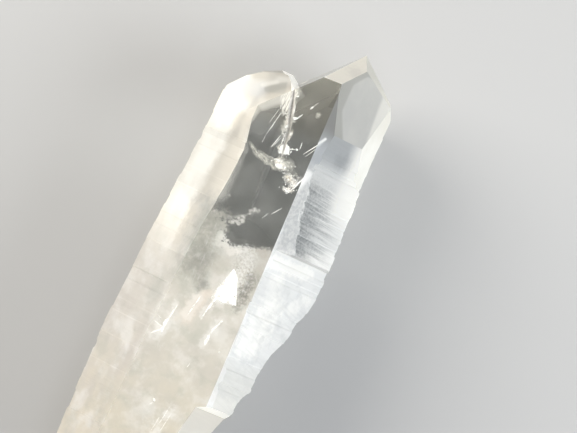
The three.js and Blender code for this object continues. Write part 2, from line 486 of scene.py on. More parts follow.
def milk_colour(where):
    milk = Painter(where)
    thin_side = ramp(milk.up, 43.5, 50.5) * ramp(milk.across, -7.6, -11.4) * ramp(milk.across, -18.4, -14.8)
    round_the_streaks = milk.strokes([
        (0.8, (-9.4, 45.2), (-10.2, 41.4), 0.4, 1.2, 1.4),
        (1.0, (-5.6, 51.6), (-5.6, 46.6), 0.5, 1.5, 1.4),
        (1.0, (-6.4, 46.6), (-7.6, 42.6), 0.1, 0.9, 1.4),
        (1.0, (-4.0, 42.6), (-5.0, 37.4), 0.0, 1.0, 1.6),
        (1.0, (-12.6, 42.4), (-13.1, 38.4), 0.0, 1.0, 1.6),
        (1.0, (-12.8, 37.8), (-13.8, 36.0), 0.4, 1.3, 2.0),
        (1.0, (-5.2, 24.0), (-6.4, 19.0), 0.0, 1.2, 2.0),
    ])
    dips = milk.clouds(0.45, 0.50, 0.62) * milk.stroke((-5.6, 57.6), (-3.0, 51.0), 1.2, 1.6, 1.0)
    grains = milk.clouds(0.5, 0.44, 0.58) * milk.stroke((-4.9, 57.6), (-3.4, 51.0), 0.9, 1.6, 1.0)
    mottled = milk.stroke((-1.3, 52.6), (-1.9, 46.6), 0.7, 0.9, 1.2) * milk.clouds(0.55, 0.34, 0.62)
    return paint(
        blend(ramp(milk.up, 42.0, 16.0), MILK_CREAM, MILK_BEIGE),
        (milk.clouds(9.0, 0.42, 0.66), MILK_ROSE, 0.7),
        (milk.clouds(3.4, 0.48, 0.66), MILK_GREEN, 0.35),
        (milk.clouds(6.0, 0.46, 0.64), MILK_WHITE, 0.40),
        (milk.clouds(2.8, 0.52, 0.72), MILK_WHITE, 0.30),
        (milk.clouds(2.4, 0.32, 0.56) * thin_side, MILK_GREEN, 0.75),
        (milk.stroke((-9.6, 56.8), (-6.6, 56.6), 0.8, 2.8, 2.0), MILK_WHITE, 0.45),
        (milk.spot((-12.6, 52.0), (3.6, 4.6), 1.0), MILK_DARK, 0.08),
        (milk.spot((-9.6, 47.6), (1.8, 2.6), 1.0), MILK_DARK, 0.75),
        (milk.spot((-17.4, 43.0), (2.4, 4.5), 1.0), MILK_GREEN, 0.6),
        (milk.spot((-6.6, 39.0), (2.0, 4.0), 0.9), MILK_GREEN, 0.35),
        (milk.stroke((-8.6, 46.0), (-10.2, 41.0), 0.3, 1.8, 1.6), MILK_PEACH, 0.7),
        (milk.spot((-9.5, 23.5), (2.6, 2.2), 0.9), MILK_WHITE, 0.35),
        (milk.spot((-17.5, 21.5), (3.0, 6.0), 0.9), MILK_GREEN, 0.25),
        (milk.clouds(0.9, 0.40, 0.60) * thin_side, MILK_DARK, 0.22),
        (milk.lines(0.5, 2.4, 0.56, 0.74, -0.3) * thin_side, MILK_WHITE, 0.40),
        (dips, MILK_DARK, 0.30),
        (grains, MILK_WHITE, 0.9),
        (round_the_streaks, MILK_WHITE, 0.55),
        (mottled, MILK_DARK, 0.55),
    )


MILK_COLOUR = new_group("milk_colour", milk_colour, "Colour", "NodeSocketColor")
print("milk colour:", len(MILK_COLOUR.nodes), "nodes")

# %% [markdown]
# The clear face is as smooth as window glass, with the faintest waviness. It could be left without
# any bump, but then its reflections would be as straight as in a pane.

# %% Finish: clear
WATER_CLEAR = (0.98, 0.985, 0.98, 1)


def clear_finish():
    finish = quartz("clear_face", 1.0, CLEAR_PANE)
    finish.bump(finish.clouds(9.0, 0.3, 0.7), 0.03, 0.4)
    return finish.made(WATER_CLEAR, 0.03)


# %% [markdown]
# The left faces are satin: a warm white haze on the surface, over the clear quartz. The point of
# the short crystal is painted greyer, as painted shade. Three finishes and the haze need to
# know where that point is, so it has a group of its own, and so have the warm colours.

# %% Finish: warm satin
BRIGHT_WARM = (0.97, 0.96, 0.915, 1)
CREAM = (0.60, 0.57, 0.51, 1)
SHORT_SHADE = (0.60, 0.59, 0.56, 1)
SHORT_CREAM = (0.46, 0.44, 0.395, 1)
# a painted sheen of cool light
SHORT_COOL_SHEEN = (0.64, 0.655, 0.67, 1)
SHORT_GREY = (0.36, 0.365, 0.34, 1)
# painted light: a lighter, bluer tint for the milk colour on the warm faces
LOWER_LIGHT_SHARES = (1.02, 1.05, 1.11)
INNER_FACET = [(-15.0, 86.3), (-13.7, 87.6), (-11.4, 89.0), (-10.8, 86.7), (-14.5, 85.6)]


def short_point(where):
    across, up, _ = split(where)
    return ramp(up, 80.5, 84.0) * ramp(across, -19.6, -17.0)


def warm_colour(where):
    warm = Painter(where)
    # painted shade: a cream band along the inner side of the left faces, beside the window
    shade_beside_the_window = warm.strokes([
        (1.0, (-16.4, 52.0), (-15.3, 71.0), 1.3, 1.6, 0.6),
        (1.0, (-15.0, 71.0), (-15.9, 79.0), 0.9, 1.6, 0.6),
        (1.0, (-14.8, 79.0), (-13.0, 84.5), 0.6, 2.2),
        (1.0, (-13.0, 84.5), (-10.5, 86.6), 0.5, 1.6),
    ])
    upper = paint(
        BRIGHT_WARM,
        (ramp(warm.across, -20.5, -22.6), CREAM, 0.4),
        (warm.clouds(9.0, 0.40, 0.66), CREAM, 0.35),
        (shade_beside_the_window, CREAM, 0.85),
        # painted shade: the short point is darker
        (warm.pattern(SHORT_POINT), SHORT_SHADE, 0.80),
        (warm.stroke((-17.4, 88.0), (-14.6, 89.2), 0.5, 1.2), SHORT_CREAM, 0.55),
        (warm.stroke((-13.6, 90.2), (-12.0, 90.6), 0.3, 0.9), SHORT_CREAM, 0.8),
        (warm.stroke((-13.0, 86.0), (-10.0, 87.6), 0.8, 1.6), SHORT_CREAM, 0.8),
        # a painted sheen of cool light across the short point
        (warm.stroke((-20.6, 84.6), (-15.8, 85.6), 0.7, 1.6, 0.8), SHORT_COOL_SHEEN, 0.75),
        (warm.patch(INNER_FACET, 0.6), SHORT_GREY, 0.62),
        (warm.stroke((-15.4, 86.6), (-13.2, 88.2), 0.05, 0.6), BRIGHT_WARM, 0.4),
    )
    into_milk = ramp(warm.up, 61.5, 47.0) | warm.stroke((-14.2, 60.6), (-15.4, 45.0), 0.5, 4.8, 2.0)
    # painted light: below, the milk colour is tinted lighter and bluer, so that under the lamps the warm
    # faces look like the milk under the clear face
    return blend(into_milk, upper, tint(warm.pattern(MILK_COLOUR), LOWER_LIGHT_SHARES))


SHORT_POINT = new_group("short_point", short_point, "Mask")
WARM_COLOUR = new_group("warm_colour", warm_colour, "Colour", "NodeSocketColor")


def warm_finish(name, light_shares):
    finish = quartz(name, 0.5)
    lines = finish.lines(18.0, 1.4, 0.35, 0.65)
    finish.bump(lines, 0.03, 0.3)
    return finish.made(tint(finish.pattern(WARM_COLOUR), light_shares), spread(lines, 0.36, 0.50))


# %% [markdown]
# The right faces carry the growth lines: fine feathery steps across the crystal. They are dark
# blue-grey near the ridge and melt into white towards the edge. Cut into the mesh, such fine steps
# would take a million faces, so they are colour and a faint bump.

# %% Finish: cool satin
WHITE = (0.92, 0.92, 0.90, 1)
COOL_WHITE = (0.78, 0.795, 0.80, 1)
BLUE_GREY = (0.16, 0.175, 0.185, 1)
PALE_BLUE = (0.43, 0.45, 0.465, 1)
# painted light for the outer edge of the right faces
LIT_EDGE_WHITE = (0.97, 0.96, 0.92, 1)
BRIGHT_STREAK = (0.96, 0.96, 0.94, 1)
LOWER_WHITE = (0.66, 0.665, 0.635, 1)
FOOT_CREAM = (0.66, 0.63, 0.57, 1)
FINE_LINES = (14.0, 0.40, 0.42, 0.60, 0.10)
STRIPE_SLOPE = 0.19


def cool_colour(where):
    cool = Painter(where)

    # how far a place lies to the right of the slanted start of the growth lines
    beyond = cool.across + (cool.up - 71.9) * STRIPE_SLOPE - 0.8
    lines = blend(ramp(beyond, 1.0, 5.0), cool.lines(9.0, 0.5, 0.34, 0.66, 0.14), cool.lines(*FINE_LINES))
    torn = beyond + (cool.clouds(1.6, 0.3, 0.7) - 0.5) * 0.9
    striped = ramp(cool.up, 59.2, 60.4) * ramp(cool.up, 77.5, 71.5) * ramp(torn, -0.35, 0.25)
    weakest = ramp(beyond, 0.5, 5.0, 0.66, 0.12)
    in_lines = lines * (1.0 - weakest) + weakest
    speckle = spread(cool.clouds(0.55, 0.36, 0.64), 0.70, 1.0)

    bright = cool.strokes([
        (1.0, (-0.2, 57.2), (7.0, 57.6), 0.9, 0.9, 1.0),
        (0.8, (2.6, 54.6), (3.2, 50.0), 0.5, 1.4, 1.0),
        (0.95, (3.8, 49.4), (2.8, 40.6), 1.3, 1.8, 2.0),
        (1.0, (4.6, 29.2), (0.8, 28.4), 0.6, 1.6, 1.0),
        (0.7, (9.0, 53.0), (7.4, 50.4), 0.4, 1.2, 1.0),
        (0.7, (-0.6, 33.0), (-0.6, 28.0), 0.4, 1.2, 1.0),
    ])
    dim_spots = cool.clouds(3.0, 0.44, 0.66) * ramp(cool.up, 58.0, 55.0) * ramp(cool.across, 1.5, 4.0)
    faint_lines = cool.lines(9.0, 0.7, 0.42, 0.72, 0.42) | cool.lines(12.0, 0.8, 0.45, 0.70) * 0.7
    return paint(
        blend(ramp(cool.up, 58.8, 60.0), COOL_WHITE, WHITE),
        (ramp(beyond, 9.6, 1.0) * striped * in_lines * speckle, BLUE_GREY, 1.0),
        # painted light: the outer edge, lit from inside, is painted whiter, besides its glow
        (ramp(cool.up, 68.0, 72.0) * ramp(cool.across, 4.0, 7.5), LIT_EDGE_WHITE, 1.0),
        (ramp(cool.up, 74.0, 80.5) * ramp(cool.across, 7.0, 4.2), PALE_BLUE, 1.0),
        (cool.spot((4.4, 79.8), (2.6, 2.4), 1.0), BLUE_GREY, 0.30),
        (bright, BRIGHT_STREAK, 0.9),
        (dim_spots, PALE_BLUE, 0.35),
        (faint_lines * ramp(cool.up, 55.0, 51.0), PALE_BLUE, 0.30),
        (ramp(cool.up, 39.0, 34.0), LOWER_WHITE, 0.5),
        (ramp(cool.up, 27.4, 26.2), FOOT_CREAM, 0.7),
    )


COOL_COLOUR = new_group("cool_colour", cool_colour, "Colour", "NodeSocketColor")

# %% [markdown]
# The outer edge of the right faces is lit from inside: light runs along the crystal and leaves it
# there. Such light is costly to trace, so the edge gets a faint glow of its own. The same is done
# where a step lies in its own shadow.

# %% Finish: cool satin, with its glow
EDGE_LIGHT = (0.97, 0.94, 0.84, 1)
NO_LIGHT = (0, 0, 0, 1)
EDGE_GLOW = 0.12


def cool_finish(name, light_shares, glow=0.0):
    finish = quartz(name, 0.5)
    fine = finish.lines(*FINE_LINES)
    finish.bump(fine, 0.03, 0.35)
    edge = ramp(finish.up, 64.0, 73.0) * ramp(finish.across, 4.6, 8.6)
    light = WHITE if glow else blend(edge, NO_LIGHT, EDGE_LIGHT)
    colour = tint(finish.pattern(COOL_COLOUR), light_shares)
    return finish.made(colour, spread(fine, 0.30, 0.45), glow=glow or EDGE_GLOW, glow_colour=light)


# %% [markdown]
# Between the large faces are narrow ones, each with its own polish: the worn tip, a grey facet
# right of it, the bevel along the ridge, and the cream edge on the far right. They are flat colours
# with a little haze, because they are too small for more.

# %% Finishes: the small facets at the tall tip
TIP_CREAM = (0.78, 0.755, 0.69, 1)
TIP_SHADOW = (0.66, 0.64, 0.60, 1)
# a white for painted highlights
RIM_HIGHLIGHT = (1.0, 1.0, 0.97, 1)
FACET_GREY = (0.57, 0.57, 0.551, 1)
FACET_HAZE = (0.6365, 0.63175, 0.60325, 1)
FACET_LIGHT = (0.90, 0.885, 0.83, 1)
FACET_SIDE = (0.43, 0.43, 0.405, 1)
BRIGHT_CORNER = [(5.6, 94.6), (9.4, 93.4), (8.0, 84.0), (6.7, 83.6), (6.5, 88.0)]
WHOLE_FACET = [(0.1, 93.8), (1.9, 96.4), (20.0, 96.4), (20.0, 82.9), (3.0, 82.9), (0.2, 88.4)]


def pale_tip_finish():
    finish = quartz("pale_tip", 0.35)
    # painted highlights along two edges of the worn tip
    outline = finish.strokes([
        (1.0, (-5.9, 94.8), (-5.4, 92.3), 0.12, 0.35),
        (1.0, (-5.4, 92.3), (-1.9, 92.4), 0.10, 0.35),
    ])
    shadow = finish.spot((-0.6, 96.0), (2.4, 1.5), 0.9)
    return finish.made(paint(TIP_CREAM, (shadow, TIP_SHADOW, 0.8), (outline, RIM_HIGHLIGHT, 1.0)), 0.4)


def grey_facet_finish():
    finish = quartz("grey_facet", 0.5)
    hazy = blend(finish.clouds(8.0, 0.35, 0.65), FACET_GREY, FACET_HAZE)
    lit = paint(hazy, (finish.patch(BRIGHT_CORNER, 0.9), FACET_LIGHT, 0.85))
    return finish.made(blend(finish.patch(WHOLE_FACET, 0.5), FACET_SIDE, lit), 0.3)


# %% Finishes: the long bevels
BEVEL_GREY = (0.52, 0.525, 0.52, 1)
BEVEL_PALE = (0.70, 0.70, 0.675, 1)
BEVEL_WHITE = (1.0, 0.99, 0.96, 1)
BEVEL_BLUE = (0.38, 0.40, 0.42, 1)
BEVEL_DARK = (0.13, 0.128, 0.115, 1)
EDGE_CREAM = (0.74, 0.725, 0.655, 1)
EDGE_PALE = (0.80, 0.79, 0.735, 1)
EDGE_TAN = (0.68, 0.66, 0.59, 1)
EDGE_SHADE = (0.52, 0.51, 0.46, 1)


def ridge_bevel_finish():
    finish = quartz("ridge_bevel", 0.5)
    colour = paint(
        blend(finish.clouds(0.8, 0.38, 0.62), BEVEL_GREY, BEVEL_PALE),
        (finish.stroke((-1.8, 71.4), (-0.6, 74.8), 0.4, 0.9), BEVEL_WHITE, 1.0),
        (ramp(finish.up, 75.5, 78.0), BEVEL_BLUE, 1.0),
        (ramp(finish.up, 80.0, 85.0), BEVEL_DARK, 1.0),
        # a painted glint on the bevel
        (finish.stroke((-1.9, 79.8), (-0.4, 82.3), 0.05, 0.35), RIM_HIGHLIGHT, 0.85),
    )
    return finish.made(colour, 0.35)


def cream_edge_finish():
    finish = quartz("cream_edge", 0.2)
    colour = paint(
        blend(finish.clouds(5.0, 0.35, 0.65), EDGE_CREAM, EDGE_PALE),
        (ramp(finish.up, 84.0, 90.0), EDGE_TAN, 0.8),
        (ramp(finish.up, 93.5, 97.0), EDGE_SHADE, 0.8),
    )
    return finish.made(colour, 0.5)


# %% [markdown]
# Below the window the ridges are worn round. They have the colour of the milk beneath, painted a
# little lighter, and bluer on the right, as painted light: light comes through them from two sides.

# %% Finish: the worn ridges over the milk
def worn_ridge_finish(name, light_shares):
    finish = quartz(name, 0.1)
    return finish.made(tint(finish.pattern(MILK_COLOUR), light_shares), 0.6)


# %% [markdown]
# A healed crack is a rough skin where it comes to the surface. Fibres run along it, with a fine net
# between them, and it is darker at its closed end.

# %% Finish: the seams
SEAM_DARK = (0.24, 0.235, 0.215, 1)
SEAM_PALE = (0.40, 0.385, 0.35, 1)
SEAM_NET = (0.56, 0.54, 0.50, 1)
SEAM_NET_PALE = (0.80, 0.78, 0.74, 1)


def seam_finish():
    finish = quartz("seam", 0.1)
    fibres = finish.lines(0.22, 2.2, 0.42, 0.58, 0.1)
    net = fibres | finish.lace(0.8) * 0.6 | finish.clouds(0.5, 0.50, 0.62)
    open_end = ramp(finish.up, 82.0, 86.5)
    finish.bump(finish.clouds(0.6, 0.3, 0.7), 0.2, 0.9)
    between = blend(open_end, SEAM_DARK, SEAM_PALE)
    return finish.made(blend(net, between, blend(open_end, SEAM_NET, SEAM_NET_PALE)), 0.6)


# %% [markdown]
# One side of the notch is chipped, so bright that it seems to shine: it has a glow of its own,
# which is painted light. The base is broken off. Neither has a crystal's flat polish, so both get
# a stronger bump.

# %% Finishes: the chipped side of the notch and the broken base
CHIP_CREAM = (0.84, 0.82, 0.77, 1)
CHIP_WHITE = (1.0, 0.99, 0.96, 1)
BREAK_CREAM = (0.95, 0.93, 0.88, 1)


def chipped_finish():
    finish = quartz("chipped", 0.3)
    net = finish.lace(1.1) | finish.clouds(0.8, 0.48, 0.60)
    finish.bump(finish.clouds(1.0, 0.3, 0.7), 0.25, 0.8)
    # the glow is painted light, in the cream of the break
    return finish.made(blend(net, CHIP_CREAM, CHIP_WHITE), 0.4, glow=0.35, glow_colour=BREAK_CREAM)


def broken_finish():
    finish = quartz("broken_base", 0.7)
    finish.bump(finish.clouds(3.0, 0.3, 0.7), 0.15, 0.6)
    return finish.made(BREAK_CREAM, 0.18)


# %% [markdown]
# ## The crystal
#
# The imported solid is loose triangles, so a copy of it is merged first and its flat faces are made
# whole again. Real edges are never knife-sharp, so the long ones get a narrow bevel.

# %% Crystal: merge the solid
MERGE = 0.004 * MM
SAME_FACE = math.radians(0.4)


def crystal_mesh():
    shape = bmesh.new()
    shape.from_mesh(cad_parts[NODE].data)
    bmesh.ops.remove_doubles(shape, verts=shape.verts, dist=MERGE)
    bmesh.ops.dissolve_limit(shape, angle_limit=SAME_FACE, verts=shape.verts, edges=shape.edges)
    print("crystal:", len(shape.faces), "flat faces")
    return shape


# %% Crystal: bevel the edges
BEVEL = 0.14 * MM
SHARP = math.radians(18)
LONG = 2.5 * MM


def soften_edges(shape):
    edges = [
        edge for edge in shape.edges
        if edge.is_manifold and edge.calc_face_angle(0) > SHARP and edge.calc_length() > LONG
    ]
    bmesh.ops.bevel(
        shape, geom=edges, offset=BEVEL, offset_type="OFFSET", segments=2, profile=0.5,
        affect="EDGES", clamp_overlap=True, material=-1,
    )
    print("crystal:", len(edges), "edges softened,", len(shape.faces), "faces")


# %% [markdown]
# Each face gets its finish by the way it faces and by where it is, as a cutter would tell them
# apart. A list of limits does this, and the first row that a face meets is its finish.

# %% Crystal: its finishes
# painted light and shade: the step, under and ledge finishes are lighter or darker copies of the satin
# ones, to even out how the lamps fall on faces that lean towards or away from the tip
MATERIALS = {
    "clear": clear_finish(),
    "warm": warm_finish("warm_satin", (1.0, 1.0, 1.0)),
    "warm_step_painted_darker": warm_finish("warm_step_painted_darker", (0.90, 0.90, 0.90)),
    "warm_under_painted_lighter": warm_finish("warm_under_painted_lighter", (1.20, 1.20, 1.20)),
    "cool": cool_finish("cool_satin", (1.0, 1.0, 1.0)),
    "cool_step_painted_lighter": cool_finish("cool_step_painted_lighter", (1.02, 1.02, 1.02)),
    "cool_under_painted_lighter": cool_finish("cool_under_painted_lighter", (1.24, 1.24, 1.24)),
    "cool_ledge_painted_light": cool_finish("cool_ledge_painted_light", (1.4, 1.4, 1.35), 0.35),
    "pale_tip": pale_tip_finish(),
    "grey_facet": grey_facet_finish(),
    "ridge_bevel": ridge_bevel_finish(),
    "cream_edge": cream_edge_finish(),
    # painted light: the worn ridges are lighter copies of the milk colour
    "left_ridge": worn_ridge_finish("left_ridge", (1.25, 1.25, 1.25)),
    "right_ridge": worn_ridge_finish("right_ridge", (1.32, 1.37, 1.46)),
    "seam": seam_finish(),
    "chipped": chipped_finish(),
    "broken": broken_finish(),
}
FINISHES = list(MATERIALS)
print("crystal:", len(FINISHES), "finishes")

# %% Crystal: a finish for each face
# `turn` is how far a face is turned round the long axis, from facing right over facing up, and
# `lean` how far it leans towards the tip, both in degrees. `steep` is the size of the lean, `level`
# is 1 for a face that looks straight up, and the rest is the place of its middle.
NO_LIMIT = 999
LEFT_SIDE = (100, 250)


def below(limit):
    return -NO_LIMIT, limit


def above(limit):
    return limit, NO_LIMIT


WORN_RIDGE = {"up": below(60), "deep": below(1.5), "level": below(0.985), "steep": below(12)}
FACE_FINISHES = [
    ("broken", {"lean": below(-12), "up": below(12)}),
    ("seam", {"deep": below(1.0), "up": (74, 91.5), "across": (-11.5, -5.5), "level": below(0.97)}),
    ("pale_tip", {"lean": above(50), "across": above(-7)}),
    ("chipped", {"lean": above(45), "turn": below(95), "across": below(-8.8)}),
    ("clear", {"turn": (80, 100), "lean": below(10)}),
    ("clear", {"turn": (250, 290)}),
    ("clear", {"lean": above(30), "turn": (160, 215), "across": above(-11)}),
    ("left_ridge", {**WORN_RIDGE, "turn": (92, 148)}),
    ("right_ridge", {**WORN_RIDGE, "turn": (32, 88)}),
    # faces that lean towards or away from the tip get the lighter or darker copies: painted light and shade
    ("warm_under_painted_lighter", {"up": below(82), "turn": LEFT_SIDE, "lean": below(-11)}),
    ("warm_step_painted_darker", {"up": below(82), "turn": LEFT_SIDE, "lean": above(11)}),
    ("cool_step_painted_lighter", {"up": below(82), "lean": above(15)}),
    ("cool_ledge_painted_light", {"up": below(40), "lean": below(-50)}),
    ("cool_under_painted_lighter", {"up": below(82), "lean": below(-15)}),
    ("warm", {"up": below(82), "steep": above(10), "turn": LEFT_SIDE}),
    ("cool", {"up": below(82), "steep": above(10)}),
    ("grey_facet", {"turn": (27, 33), "lean": above(4), "up": above(84)}),
    ("ridge_bevel", {"turn": (40, 50), "lean": below(5)}),
    ("cream_edge", {"turn": (18, 26), "lean": above(1)}),
    ("warm", {"turn": LEFT_SIDE}),
    ("warm", {"across": below(-9), "lean": above(30)}),
    ("cream_edge", {"lean": above(20)}),
    ("cool", {}),
]


def finish_of(face):
    centre = face.calc_center_median()
    lean = math.degrees(math.asin(max(-1, min(1, face.normal.y))))
    measured = {
        "turn": math.degrees(math.atan2(face.normal.z, face.normal.x)) % 360,
        "lean": lean,
        "steep": abs(lean),
        "level": face.normal.z,
        "up": (centre.y - TIP.y) / MM + LENGTH,
        "across": (centre.x - TIP.x) / MM,
        "deep": (TOP - centre.z) / MM,
    }
    for finish, limits in FACE_FINISHES:
        if all(low < measured[name] < high for name, (low, high) in limits.items()):
            return finish


# %% Crystal: from a shape to a piece
def body(shape, name, materials):
    mesh = bpy.data.meshes.new(name)
    shape.to_mesh(mesh)
    shape.free()
    for material in materials:
        mesh.materials.append(material)
    thing = bpy.data.objects.new(name, mesh)
    put_in_scene(thing)
    print(name + ":", len(mesh.polygons), "faces")
    return thing


def show(shape, name, materials):
    piece = body(shape, name, materials)
    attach(piece, "root")
    return piece


# %% Crystal: put together
shape = crystal_mesh()
SKIN = BVHTree.FromBMesh(shape)
soften_edges(shape)
for face in shape.faces:
    face.material_index = FINISHES.index(finish_of(face))
print("crystal open edges:", sum(not edge.is_manifold for edge in shape.edges))
crystal = show(shape, "crystal", MATERIALS.values())
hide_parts(NODE)

# %% [markdown]
# ## The haze just under the skin
#
# Under the window the quartz is never quite empty: a very faint haze makes it grey instead of
# black, thicker along the soft left ridge. Below the window it turns into a full white cloud that
# reaches right up to the surface. The haze is a closed copy of the crystal, a little smaller, and
# its finish is see-through where there is little of it.

# %% Haze: a smaller copy of the crystal
HAZE_DEPTH = 0.07 * MM
SHARPEST = 1.6


def haze_shape():
    shape = crystal_mesh()
    shape.normal_update()
    depths = [min(vertex.calc_shell_factor(), SHARPEST) * HAZE_DEPTH for vertex in shape.verts]
    for vertex, depth in zip(shape.verts, depths):
        vertex.co -= vertex.normal * depth
    return shape


# %% [markdown]
# The haze is made of masks: the white cloud, the hazy rims, the torn puffs above the cloud, the
# thin layer that is everywhere, and two of painted shade, a dark layer on the back side and a dark
# strip along the edge of the tall tip. The strongest of them says how solid the haze is at each
# place, and the same masks choose its colour.

# %% Haze: its colours
WINDOW_HAZE = (0.62, 0.62, 0.60, 1)
WARM_WINDOW = (0.68, 0.63, 0.50, 1)
BROWN_HAZE = (0.36, 0.34, 0.31, 1)
# the colour of the painted shade along the tip
TIP_SHADE_HAZE = (0.20, 0.20, 0.185, 1)
RIM_HAZE = (0.58, 0.56, 0.515, 1)
SHORT_SHADE_HAZE = (0.42, 0.41, 0.385, 1)
RIBBON_HAZE = (0.76, 0.74, 0.69, 1)
PUFF_HAZE = (0.60, 0.58, 0.54, 1)
# colours and cover of the painted shade on the back side
BACK_SHADE = (0.26, 0.26, 0.25, 1)
WARM_BACK_SHADE = (0.30, 0.282, 0.248, 1)
BACK_SIDE = (-20.0, -24.0)
BACK_SHADE_COVER = 0.80
NOTCH_ZONE = [(-11.4, 86.2), (-9.6, 89.4), (-8.5, 89.0), (-8.0, 84.2), (-9.6, 82.6)]
print("haze:", HAZE_DEPTH / MM, "mm under the skin")


# %% Haze: the white cloud
def cloud_edge(haze, large):
    """1 in the white cloud: its edge is a clean slope on the right and ragged on the left."""
    on_right = ramp(haze.across, -11.4, -8.2)
    level = (haze.across * 0.36 + 59.9) * on_right + (1.0 - on_right) * 62.3
    small = haze.clouds(1.3, 0.2, 0.8) - 0.5
    specks = haze.clouds(0.45, 0.25, 0.75) - 0.5
    wander = (small + specks + large * 1.3) * ramp(on_right, 0.5, 1.0, 3.4, 0.8)
    return ramp(level - haze.up + wander, spread(on_right, -1.4, -0.5), spread(on_right, 2.2, 0.8))


def milk_under_skin(haze, cloud):
    deep_cloud = ramp(haze.up, 62.0, 46.0, 0.74, 0.97)
    bank = haze.stroke((-10.2, 57.2), (-7.2, 56.2), 1.0, 1.8, 1.0) * 0.96
    beside_the_ridge = haze.spot((-2.2, 50.2), (1.8, 4.4), 0.7) * haze.clouds(0.8, 0.36, 0.60) * 0.42
    thin = haze.spot((-12.4, 51.6), (4.4, 5.4), 1.0) * 0.20 | beside_the_ridge
    return cloud * (deep_cloud | bank) * (1.0 - thin)


# %% Finish: haze
def haze_finish():
    haze = matt("haze")
    haze.absorb()
    large = haze.clouds(4.0, 0.2, 0.8) - 0.5
    cloud = cloud_edge(haze, large)
    milk = milk_under_skin(haze, cloud)

    ribbon = haze.patch(NOTCH_ZONE, 0.7) * spread(haze.lines(0.24, 2.6, 0.40, 0.56, 0.15), 0.12, 0.85)
    tangle = haze.stroke((-8.2, 84.0), (-7.5, 78.6), 0.4, 1.2, 1.4) * haze.clouds(0.8, 0.36, 0.60) * 0.45
    rim = ribbon | tangle | haze.strokes([
        (0.95, (-18.4, 88.0), (-19.8, 79.0), 1.8, 3.4),
        (0.90, (-10.2, 86.9), (-13.9, 83.4), 0.5, 1.8),
        (0.7, (-14.0, 84.4), (-15.3, 79.0), 0.2, 1.6),
        (0.6, (-15.3, 79.0), (-14.0, 72.0), 0.2, 1.2),
        (0.5, (-14.0, 72.0), (-14.9, 60.0), 0.2, 1.2),
        (0.5, (-14.6, 74.0), (-14.2, 65.0), 0.2, 3.2, 0.6),
    ])
    torn = haze.clouds(0.6, 0.28, 0.68) * 0.52 + 0.20
    puffs = torn * haze.strokes([
        (1.0, (-10.8, 60.2), (-8.7, 62.0), 0.1, 1.4, 2.0),
        (1.0, (-8.9, 61.6), (-8.0, 62.4), 0.1, 1.5, 2.0),
        (1.0, (-7.4, 63.5), (-6.8, 64.6), 0.0, 1.2, 1.8),
    ])

    bubbles = haze.stroke((-9.6, 89.6), (-2.4, 93.4), 1.6, 2.4) * haze.clouds(0.5, 0.46, 0.60) * 0.08
    smoke = haze.strokes([
        (0.07, (-12.0, 83.6), (-12.2, 79.0), 0.6, 2.4),
        (0.07, (-5.6, 87.4), (-4.6, 84.4), 0.4, 2.0),
    ])
    warm_top = ramp(haze.up, 79.0, 86.0)
    window = spread(haze.clouds(7.0, 0.3, 0.7), 0.130, 0.190) + large * 0.04 + warm_top * 0.03
    # painted shade: on the back side the haze turns into a dark layer that makes the window grey
    back_shade = ramp(haze.height, *BACK_SIDE, 0.0, BACK_SHADE_COVER)
    # painted shade: a dark layer along the edge of the tall tip
    tip_edge_shade = haze.stroke((-9.2, 90.6), (-6.2, 93.8), 0.5, 0.5) * 0.6
    solid = milk | rim | puffs | back_shade | tip_edge_shade | window + bubbles + smoke

    upper = paint(
        blend(warm_top, WINDOW_HAZE, WARM_WINDOW),
        (haze.stroke((-3.2, 84.0), (-4.2, 87.5), 0.6, 2.4), BROWN_HAZE, 0.35),
        (tip_edge_shade, TIP_SHADE_HAZE, 1.0),
        (rim, RIM_HAZE, 1.0),
        # painted shade over the short point, as on the skin above it
        (haze.pattern(SHORT_POINT), SHORT_SHADE_HAZE, 0.7),
        (ribbon, RIBBON_HAZE, 1.0),
        (puffs, PUFF_HAZE, 1.0),
        (ramp(haze.height, *BACK_SIDE), blend(warm_top, BACK_SHADE, WARM_BACK_SHADE), 1.0),
    )
    return haze.made(blend(cloud, upper, haze.pattern(MILK_COLOUR)), alpha=solid)


show(haze_shape(), "haze", [haze_finish()])

# %% [markdown]
# ## The milk
#
# The lower half is milky: countless bubbles too small to see. Drawing each one is out of the
# question and a true fog renders slowly, so behind the haze the milk is a few closed shells, one
# inside the other. Each one lets some of the next show through, and all of them thin out
# raggedly towards the tip.

# %% Milk: where the crystal's skin is
INSIDE = -6.4 * MM
FOOT_UP = 12.0
TRIES = 3
NEARLY = 0.98
LEFT = Vector((-1, 0, 0))
RIGHT = Vector((1, 0, 0))


def middle(y):
    """A point well inside the crystal at this height, half-way between its two sides."""
    start = Vector((TIP.x + INSIDE, y, TOP / 2))
    left = SKIN.ray_cast(start, LEFT)[0]
    right = SKIN.ray_cast(start, RIGHT)[0]
    if left is None or right is None:
        return start
    return (left + right) / 2


def tuck_in(shape, margin):
    """Moves every vertex that is nearer to the skin than the margin, or outside it, inwards."""
    for vertex in shape.verts:
        for _ in range(TRIES):
            near, normal, _, _ = SKIN.find_nearest(vertex.co)
            if (vertex.co - near).dot(normal) <= -margin * NEARLY:
                break
            vertex.co = near - normal * margin


# %% [markdown]
# A shell starts as an arc that is spun round the long axis. Then every vertex is pushed out until
# it lies a little under the skin, which a ray from the middle finds. Noise makes it lumpy.

# %% Milk: shells that follow the crystal's own shape
CENTRE = (0, 0, 0)
ROUND = 72
ALONG = 90
BOTTOM_UP = 1.0
FOOT_TAPER = 9.0
END_TAPER = 3.0
FAR = 10 * MM
THINNEST = 0.2 * MM
FINE_SHARE = 0.4
TINY = 1e-6


